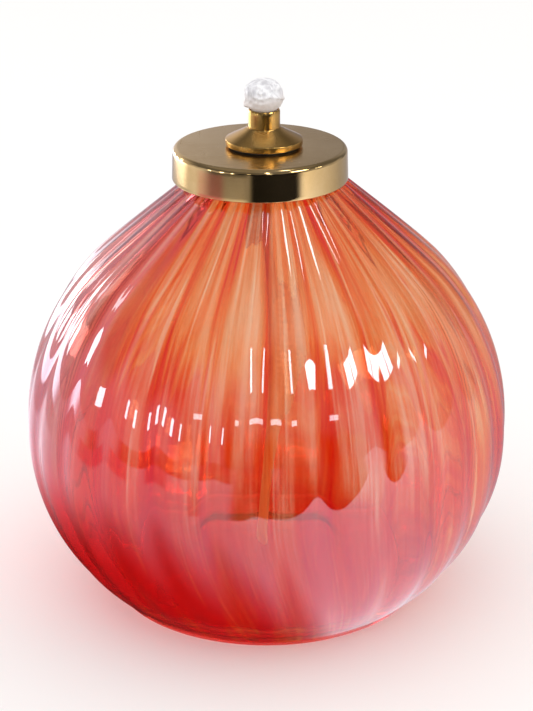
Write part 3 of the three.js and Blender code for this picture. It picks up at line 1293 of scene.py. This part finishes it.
@dataclass
class Wick:
    """The round fibreglass wick: an opened head, and a tail that hangs in the ball."""

    mouth: float
    top: float
    radius: float = mm(2.9)
    head_radius: float = mm(4.35)
    route_mm: tuple[tuple[float, float, float], ...] = (
        (0, 0, 119.5), (0, 0, 116), (0, 0, 111), (0, 0, 106), (0, 0, 101), (0, 0, 96), (0, 0, 91),
        (0.1, 0.05, 88), (1.0, 0.4, 82), (2.3, 0.8, 76), (3.6, 0.7, 69), (4.4, 0.0, 62), (4.7, -0.9, 55),
        (4.4, -1.8, 48), (3.7, -2.5, 41), (2.6, -3.0, 34), (1.2, -3.2, 27), (-0.3, -3.0, 20),
        (-1.6, -2.4, 13.5), (-2.4, -1.7, 8.5),
    )
    rings: int = 420
    sides: int = 64
    yarns: int = 8
    lay_length: float = mm(11)
    yarn_relief: float = mm(0.22)
    braid_level: float = 0.85
    shift: float = mm(-0.55)
    head_share: float = 0.22
    head_widest: float = 0.42
    dome_power: float = 2.3
    opening_power: float = 0.7
    tail_rounding: float = mm(1.2)
    fold_height: float = mm(1.0)
    fold_start: float = 0.12
    folds_out: tuple[Fold, ...] = (Fold(163, 0.15, 30, 0.11, 0.90), Fold(150, 0.72, 45, 0.16, 0.35))
    hollows: tuple[Fold, ...] = (Fold(30, 0.60, 26, 0.13, -0.75), Fold(275, 0.5, 30, 0.2, -0.4))
    curl: Fold = Fold(105, 0.70, 0.75, 2.2, 0.30)
    curl_pitch: float = 0.42
    ridge: Fold = Fold(math.degrees(0.7), 0.34, 0.20, 0.055, 0.38)

    def centreline(self) -> np.ndarray:
        """Walks the smooth route from the head's top down to the tail.

        Returns:
            The centre points, one row each: evenly spaced, and closer together in the head.
        """
        knots = np.array([(0.0, 0.0, self.top * 1000)] + list(self.route_mm)) * MILLIMETRE
        knots[:, 0] += self.shift
        padded = np.vstack((2 * knots[0] - knots[1], knots, 2 * knots[-1] - knots[-2]))
        points = []
        for a, b, c, d in zip(padded, padded[1:], padded[2:], padded[3:]):
            for t in np.linspace(0, 1, 40, endpoint=False):
                points.append(0.5 * (2 * b + (c - a) * t + (2 * a - 5 * b + 4 * c - d) * t ** 2
                                     + (3 * b - a - 3 * c + d) * t ** 3))
        points.append(knots[-1])
        dense = np.array(points)
        walked = np.concatenate(((0,), np.cumsum(np.linalg.norm(np.diff(dense, axis=0), axis=1))))
        even = np.linspace(0, walked[-1], int(self.rings * (1 - self.head_share)))
        head = np.linspace(0, self.top - self.mouth + mm(1.5), int(self.rings * self.head_share))
        wanted = np.unique(np.concatenate((head, even[even > head[-1] + mm(0.1)])))
        return np.column_stack([np.interp(wanted, walked, dense[:, k]) for k in range(3)])

    def girth(self, heights: np.ndarray, walked: np.ndarray) -> np.ndarray:
        """Radius of the wick along its length: a mushroom at the top, a frayed round end at the tail.

        Args:
            heights: The height of each centre point.
            walked: The way from the head's top to each centre point.

        Returns:
            The radius at each point.
        """
        up = np.clip((heights - self.mouth) / (self.top - self.mouth), 0, 1)
        widest, power = self.head_widest, self.dome_power
        dome = np.clip(1 - np.abs((up - widest) / (1 - widest)) ** power, 0, 1) ** (1 / power)
        opened = np.sin(0.5 * math.pi * np.clip(up / widest, 0, 1)) ** self.opening_power
        opening = self.radius + (self.head_radius - self.radius) * opened
        radius = np.where(up > widest, self.head_radius * dome, opening)
        left = np.clip((walked[-1] - walked) / self.tail_rounding, 0, 1)
        tail = np.sqrt(np.clip(1 - (1 - left) ** 2, 0, 1))
        return np.where(heights < self.mouth, self.radius * tail, radius)

    def folds(self, turn: np.ndarray, up: np.ndarray) -> np.ndarray:
        """How far the folds of the opened head stand out: a flap, a curl, a ridge and a hollow.

        Args:
            turn: The directions round the head, from the right to the front.
            up: The height in the head, from 0 at the holder's mouth to 1 at its top.

        Returns:
            The rise at each place, in metres.
        """
        flap = sum(fold.stands(turn, up) for fold in self.folds_out)
        hollow = sum(fold.stands(turn, up) for fold in self.hollows)
        curl_turn = off_by(turn, self.curl.azimuth)
        curl_way = np.hypot(curl_turn, (up - self.curl.up) * self.curl.reach)
        curl_angle = np.arctan2(up - self.curl.up, curl_turn + 1e-6)
        curl = self.curl.rise * np.cos(2 * math.pi * curl_way / self.curl_pitch + curl_angle)
        curl = curl * np.exp(-(curl_way / self.curl.width) ** 2)
        ridge_up = self.ridge.up + self.ridge.width * np.clip(np.sin(turn), -1, 1)
        ridge = self.ridge.rise * np.exp(-((up - ridge_up) / self.ridge.reach) ** 2)
        ridge = ridge * np.clip(np.cos(off_by(turn, self.ridge.azimuth)), 0, 1)
        strands = 0.09 * np.sin(11 * turn + 16 * up + 2.5 * np.sin(2 * turn + 5 * up))
        strands += 0.05 * np.sin(27 * turn - 21 * up + 3 * np.sin(3 * turn))
        rise = flap + curl + ridge + hollow + strands
        return self.fold_height * rise * np.clip(up / self.fold_start, 0, 1)

    def build(self) -> bpy.types.Object:
        """Sweeps the wick, lays its yarns and opens its head.

        Returns:
            The wick.
        """
        line = self.centreline()
        steps = np.linalg.norm(np.diff(line, axis=0), axis=1)
        walked = np.concatenate(((0,), np.cumsum(steps)))
        tangent = np.gradient(line, axis=0)
        tangent /= np.linalg.norm(tangent, axis=1)[:, None]
        side = np.zeros_like(line)
        side[0] = (1, 0, 0)
        for i in range(1, len(line)):
            flat = side[i - 1] - tangent[i] * (side[i - 1] @ tangent[i])
            side[i] = flat / np.linalg.norm(flat)
        across = np.cross(tangent, side)
        girth = self.girth(line[:, 2], walked)
        turn = np.arange(self.sides) * (2 * math.pi / self.sides)
        twist = 2 * math.pi * walked / self.lay_length
        grid, lay = np.meshgrid(turn, twist)
        one_way = np.abs(np.cos(0.5 * self.yarns * (grid + lay)))
        other_way = np.abs(np.cos(0.5 * self.yarns * (grid - lay)))
        braid = np.maximum(one_way, other_way) - self.braid_level
        in_bore = np.clip((self.mouth - line[:, 2]) / mm(1.0), 0, 1)
        up = np.clip((line[:, 2] - self.mouth) / (self.top - self.mouth), 0, 1)[:, None]
        relief = self.yarn_relief * braid * in_bore[:, None]
        relief = relief + self.folds(grid, up) * np.where(up > 0, 1, 0)
        radius = girth[:, None] + relief * np.clip(girth / self.radius, 0, 1)[:, None]
        outward = np.cos(turn)[None, :, None] * side[:, None, :]
        outward = outward + np.sin(turn)[None, :, None] * across[:, None, :]
        rings = line[:, None, :] + radius[..., None] * outward
        vertices = np.concatenate((rings[1:-1].reshape(-1, 3), line[:1], line[-1:]))
        count = len(line) - 2
        top, bottom = count * self.sides, count * self.sides + 1
        faces: list[tuple[int, ...]] = []
        for i in range(self.sides):
            after = (i + 1) % self.sides
            faces.append((top, after, i))
            last = (count - 1) * self.sides
            faces.append((bottom, last + i, last + after))
            faces.extend((k * self.sides + i, k * self.sides + after,
                          (k + 1) * self.sides + after, (k + 1) * self.sides + i) for k in range(count - 1))
        wick = mesh_object("fibreglass_wick", vertices, faces)
        wick.data.materials.append(GlassYarn(self.mouth).material())
        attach(wick, Body.WICK.value)
        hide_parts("wick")
        return wick


# ---------------------------------------------------------------- studio


def eased(value: np.ndarray, low: float | np.ndarray, high: float | np.ndarray) -> np.ndarray:
    """A smooth rise of a value.

    Args:
        value: The values.
        low: Where the rise starts.
        high: Where it ends.

    Returns:
        The rise at each value, from 0 at low to 1 at high.
    """
    share = np.clip((value - low) / (high - low), 0, 1)
    return share * share * (3 - 2 * share)


class Sector(NamedTuple):
    """A range of azimuths in degrees, with soft sides."""

    first: float
    last: float
    soft: float

    def share(self, azimuth: np.ndarray) -> np.ndarray:
        """How much of the sector holds at each azimuth, from 0 to 1."""
        return (eased(azimuth, self.first - self.soft, self.first + self.soft)
                * (1 - eased(azimuth, self.last - self.soft, self.last + self.soft)))


class Pane(NamedTuple):
    """A window that only mirrors show: its direction in degrees, its size and its radiance."""

    name: str
    azimuth: float
    height: float
    width: float
    tall: float
    radiance: float


PANES = (
    Pane("left_window_0", -147, 3, 0.15, 0.18, 6.0),
    Pane("left_window_1", -134, 5, 0.15, 0.18, 6.0),
    Pane("left_window_2", -122, 8, 0.15, 0.18, 6.0),
    Pane("left_upper_window", -128, 21, 0.10, 0.16, 3.0),
    Pane("right_window_0", 50, 34, 0.20, 0.24, 9.0),
    Pane("right_window_1", 63, 34, 0.20, 0.24, 9.0),
    Pane("far_pane_-68", -68, 11, 0.08, 0.15, 7.0),
    Pane("far_pane_-50", -50, 11, 0.10, 0.15, 7.0),
    Pane("far_pane_-36", -36, 11, 0.05, 0.15, 7.0),
    Pane("middle_pane_-14", -14, 19, 0.10, 0.05, 4.0),
    Pane("middle_pane_12", 12, 19, 0.16, 0.05, 4.0),
    Pane("tall_pane", 11, 42, 0.07, 0.42, 7.0),
    Pane("right_pane", 84, 25, 0.22, 0.05, 7.0),
    Pane("high_pane", 80, 72, 0.20, 0.12, 7.0),
)


@dataclass
class MirroredRoom:
    """What polished surfaces mirror: a pale table top with a dark front edge, in a dim room.

    It glows by itself, and only mirrors show it. Azimuths are in degrees, from the front to the right.
    """

    tint: Colour = (0.94, 0.90, 1.0)
    radius: float = 2.6
    table_start: float = mm(37)
    table_edge: float = mm(148)
    edge_slant: float = 0.22
    edge_soft: float = mm(2)
    table_rows: int = 260
    room_rows: int = 120
    room_top: float = 89.5
    columns: int = 360
    table_knots: tuple[float, ...] = (
        -180, -150, -125, -100, -75, -50, -25, 0, 25, 50, 75, 100, 125, 150, 180)
    table_levels: tuple[float, ...] = (
        0.7, 1.2, 1.5, 0.95, 0.7, 0.75, 0.85, 1.0, 1.4, 1.4, 0.95, 0.7, 0.45, 0.4, 0.7)
    shade_knots: tuple[float, ...] = (-180, -140, -50, 0, 25, 180)
    shade_start_mm: tuple[float, ...] = (25, 50, 56, 40, 25, 25)
    shade_end_mm: tuple[float, ...] = (45, 120, 135, 85, 45, 45)
    calm: Sector = Sector(-175, -100, 14)
    far_patch: Sector = Sector(-158, -112, 8)
    far_level: float = 3.0
    left_shade: Sector = Sector(-72, -10, 10)
    left_loss: float = 0.85
    front_edge: Sector = Sector(-16, 54, 8)
    front_loss: float = 0.985
    rosy_side: Sector = Sector(-86, -48, 6)
    rosy_losses: tuple[float, float, float] = (0, 0.62, 0.5)
    room_level: float = 0.14
    glow_level: float = 0.62
    glow_left: Sector = Sector(-178, -112, 12)
    glow_round: Sector = Sector(182, 248, 12)
    front_half: Sector = Sector(-150, 150, 14)
    low_left: Sector = Sector(-112, -40, 12)
    low_right: Sector = Sector(58, 130, 10)
    right_wall: Sector = Sector(20, 110, 15)
    dark_front: Sector = Sector(-30, 54, 5)
    dark_loss: float = 0.97
    ceiling_level: float = 0.12

    def table_light(self, azimuth: np.ndarray, distance: np.ndarray) -> np.ndarray:
        """How bright the table is: shaded by the lamp on the left, and dark past its front edge.

        Args:
            azimuth: The directions from the lamp.
            distance: How far from the lamp's axis.

        Returns:
            The brightness at each place.
        """
        light = np.interp(azimuth, self.table_knots, self.table_levels)
        start, end = (np.interp(azimuth, self.shade_knots, reach) * MILLIMETRE
                      for reach in (self.shade_start_mm, self.shade_end_mm))
        light = light * (0.02 + 0.98 * eased(distance, start, end))
        a = np.radians(azimuth)
        forward, across = distance * np.cos(a), distance * np.sin(a)
        edge = self.table_edge + self.edge_slant * across
        past = eased(forward, edge - self.edge_soft, edge + self.edge_soft)
        calm = self.calm.share(azimuth) * eased(distance, mm(190), mm(235))
        light = light * (1 - 0.5 * calm * (1 - eased(distance, mm(390), mm(430))))
        far = self.far_level * self.far_patch.share(azimuth) * eased(distance, mm(400), mm(470))
        left = self.left_loss * eased(distance, mm(365), mm(420)) * self.left_shade.share(azimuth)
        front = self.front_loss * self.front_edge.share(azimuth) * past
        return light * (1 - np.maximum(front, left)) + far

    def room_light(self, azimuth: np.ndarray, height: np.ndarray) -> np.ndarray:
        """How bright the room is: dim, but for a glow at the back left and paler walls low down.

        Args:
            azimuth: The directions from the lamp.
            height: The height angles in degrees.

        Returns:
            The brightness in each direction.
        """
        low = 1 - eased(height, 12, 26)
        middle = 1 - eased(height, 22, 46)
        back = (1 - self.front_half.share(azimuth)) * eased(np.sin(np.radians(azimuth)), -0.2, 0.5)
        glow = self.glow_left.share(azimuth) + self.glow_round.share(azimuth)
        light = self.room_level + (self.glow_level * glow + 0.22 * back) * middle
        light += low * (0.45 * self.low_left.share(azimuth) + 0.3 * self.low_right.share(azimuth))
        light += 0.10 * self.right_wall.share(azimuth) * eased(height, 12, 26) * middle
        light *= 1 - self.dark_loss * self.dark_front.share(azimuth) * (1 - eased(height, 9, 17))
        return light + self.ceiling_level * eased(height, 46, 60)

    def glow(self, piece: bpy.types.Object, brightness: np.ndarray, rosy: np.ndarray) -> None:
        """Gives a piece its own light, which only mirrors show.

        Args:
            piece: The grid to light up.
            brightness: How bright each of its places is.
            rosy: How much of the light has come through the coloured glass, from 0 to 1.
        """
        channels = [(brightness * share * (1 - loss * rosy)).ravel()
                    for share, loss in zip(self.tint, self.rosy_losses)]
        colours = np.column_stack((*channels, np.ones(brightness.size))).astype(np.float32)
        attribute = piece.data.attributes.new("glow", "FLOAT_COLOR", "POINT")
        attribute.data.foreach_set("color", colours.ravel())
        material = bpy.data.materials.new(piece.name)
        material.use_nodes = True
        nodes = material.node_tree.nodes
        nodes.remove(nodes["Principled BSDF"])
        reader = nodes.new("ShaderNodeAttribute")
        reader.attribute_name = "glow"
        emission = nodes.new("ShaderNodeEmission")
        links = material.node_tree.links
        links.new(reader.outputs["Color"], emission.inputs["Color"])
        links.new(emission.outputs["Emission"], nodes["Material Output"].inputs["Surface"])
        material.cycles.emission_sampling = "NONE"
        piece.data.materials.append(material)
        piece.visible_camera = False
        piece.visible_diffuse = False
        piece.visible_transmission = False
        piece.visible_shadow = False

    def grid(self, name: str, places: np.ndarray, rows: int) -> bpy.types.Object:
        """Makes a round grid mesh from its rows of places.

        Args:
            name: The grid's name.
            places: The place of every grid point, row by row.
            rows: How many rows it has.

        Returns:
            The grid.
        """
        faces = [(r * self.columns + c, r * self.columns + (c + 1) % self.columns,
                  (r + 1) * self.columns + (c + 1) % self.columns, (r + 1) * self.columns + c)
                 for r in range(rows - 1) for c in range(self.columns)]
        return mesh_object(name, places.reshape(-1, 3), faces)

    def build(self) -> None:
        """Makes the table top and the room round it."""
        turn = np.linspace(-180, 180, self.columns, endpoint=False)
        reach = np.geomspace(self.table_start, self.radius, self.table_rows)
        azimuth, distance = np.meshgrid(turn, reach)
        a = np.radians(azimuth)
        places = np.stack((distance * np.sin(a), -distance * np.cos(a), np.full_like(a, mm(0.2))), -1)
        table = self.grid("mirrored_table", places, self.table_rows)
        rosy = self.rosy_side.share(azimuth) * eased(distance, mm(205), mm(240))
        rosy = rosy * (1 - eased(distance, mm(380), mm(420)))
        self.glow(table, self.table_light(azimuth, distance), rosy)
        heights = np.linspace(0, self.room_top, self.room_rows)
        azimuth, height = np.meshgrid(turn, heights)
        a, h = np.radians(azimuth), np.radians(height)
        places = self.radius * np.stack((np.sin(a) * np.cos(h), -np.cos(a) * np.cos(h), np.sin(h)), -1)
        room = self.grid("mirrored_room", places, self.room_rows)
        self.glow(room, self.room_light(azimuth, height), np.zeros_like(height))


@dataclass
class Studio:
    """A pale floor, soft light, and what the polished surfaces mirror."""

    target: Vector
    distance: float = 0.5
    height_angle: float = math.radians(21.8)
    lens: float = 106.8
    floor_colour: Colour = (0.92, 0.915, 0.91)
    floor_half: float = 14.0
    floor_drop: float = mm(0.02)
    sky_colour: Colour = (1.0, 0.99, 0.98)
    sky_strength: float = 0.96
    window_distance: float = 1.2
    bounces: int = 32

    def camera(self) -> bpy.types.Object:
        """Sets up the camera, looking down on the lamp from the front.

        Returns:
            The camera.
        """
        data = bpy.data.cameras.new("camera")
        data.lens = self.lens
        data.clip_start = 0.01
        camera = bpy.data.objects.new("camera", data)
        offset = Vector((0, -math.cos(self.height_angle), math.sin(self.height_angle)))
        camera.location = self.target + offset * self.distance
        camera.rotation_euler = (-offset).to_track_quat("-Z", "Y").to_euler()
        bpy.context.scene.collection.objects.link(camera)
        bpy.context.scene.camera = camera
        return camera

    def floor(self) -> bpy.types.Object:
        """Lays the plain pale floor.

        Returns:
            The floor.
        """
        half, low = self.floor_half, -self.floor_drop
        corners = np.array([(-half, -half, low), (half, -half, low), (half, half, low), (-half, half, low)])
        floor = mesh_object("floor", corners, [(0, 1, 2, 3)])
        shader = Shader("pale_floor")
        shader.set(Base_Color=(*self.floor_colour, 1.0), Roughness=0.9, Specular_IOR_Level=0.1)
        floor.data.materials.append(shader.material)
        return floor

    def lamp_at(self, name: str, azimuth: float, height: float, distance: float, size: tuple[float, float],
                radiance: float, mirror_only: bool = True) -> bpy.types.Object:
        """Hangs a white soft box that is aimed at the lamp.

        Args:
            name: The light's name.
            azimuth: Its direction in degrees, from the front and turning to the right.
            height: Its height angle in degrees.
            distance: How far away it is.
            size: Its width and height.
            radiance: How bright its face is.
            mirror_only: True if it only shows in mirrors and glass.

        Returns:
            The light.
        """
        a, h = math.radians(azimuth), math.radians(height)
        way = Vector((math.sin(a) * math.cos(h), -math.cos(a) * math.cos(h), math.sin(h)))
        data = bpy.data.lights.new(name, "AREA")
        data.shape = "RECTANGLE"
        data.size, data.size_y = size
        data.energy = radiance * math.pi * size[0] * size[1]
        light = bpy.data.objects.new(name, data)
        light.location = self.target + way * distance
        light.rotation_euler = way.to_track_quat("Z", "Y").to_euler()
        light.visible_camera = False
        if mirror_only:
            light.visible_diffuse = False
        bpy.context.scene.collection.objects.link(light)
        return light

    def sky(self) -> None:
        """The even light of the studio."""
        world = bpy.data.worlds.new("light_tent")
        bpy.context.scene.world = world
        world.use_nodes = True
        background = world.node_tree.nodes["Background"]
        background.inputs["Color"].default_value = (*self.sky_colour, 1)
        background.inputs["Strength"].default_value = self.sky_strength

    def build(self) -> None:
        """Sets up the floor, the light, what the mirrors see and the camera."""
        scene = bpy.context.scene
        scene.view_settings.view_transform = "Standard"
        scene.cycles.max_bounces = scene.cycles.transmission_bounces = self.bounces
        scene.cycles.glossy_bounces = self.bounces
        self.floor()
        self.sky()
        overhead = self.lamp_at("overhead", 20, 78, 1.6, (1.5, 1.5), 1.0, mirror_only=False)
        overhead.visible_glossy = False
        for pane in PANES:
            self.lamp_at(pane.name, pane.azimuth, pane.height, self.window_distance, (pane.width, pane.tall),
                         pane.radiance)
        MirroredRoom().build()
        self.camera()


# ---------------------------------------------------------------- build


def main() -> None:
    """Builds the studio and the lamp, sub-assembly by sub-assembly."""
    logging.basicConfig(level=logging.INFO, format="%(name)s: %(message)s")
    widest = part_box("glass_globe")[1]
    globe_high = Vector((widest.x, widest.y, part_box("glass_shoulder")[1].z))
    cap_low, cap_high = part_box("brass_cap")
    holder_low, holder_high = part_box("wick_holder")
    wick_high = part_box("wick")[1]
    Studio(target=Vector((0, 0, mm(57.4)))).build()

    pieces = [Wick(mouth=holder_high.z, top=wick_high.z).build()]
    pieces.append(RibbedGlobe(high=globe_high).build())
    seal_low, seal_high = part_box("neck_gasket")
    pieces += CapAssembly(
        cap_top=cap_high.z, cap_radius=cap_high.y, skirt_bottom=cap_low.z, holder_bottom=holder_low.z,
        holder_top=holder_high.z, flange_radius=holder_high.y, seal_low=seal_low, seal_high=seal_high).build()


if __name__ == "__main__":
    main()
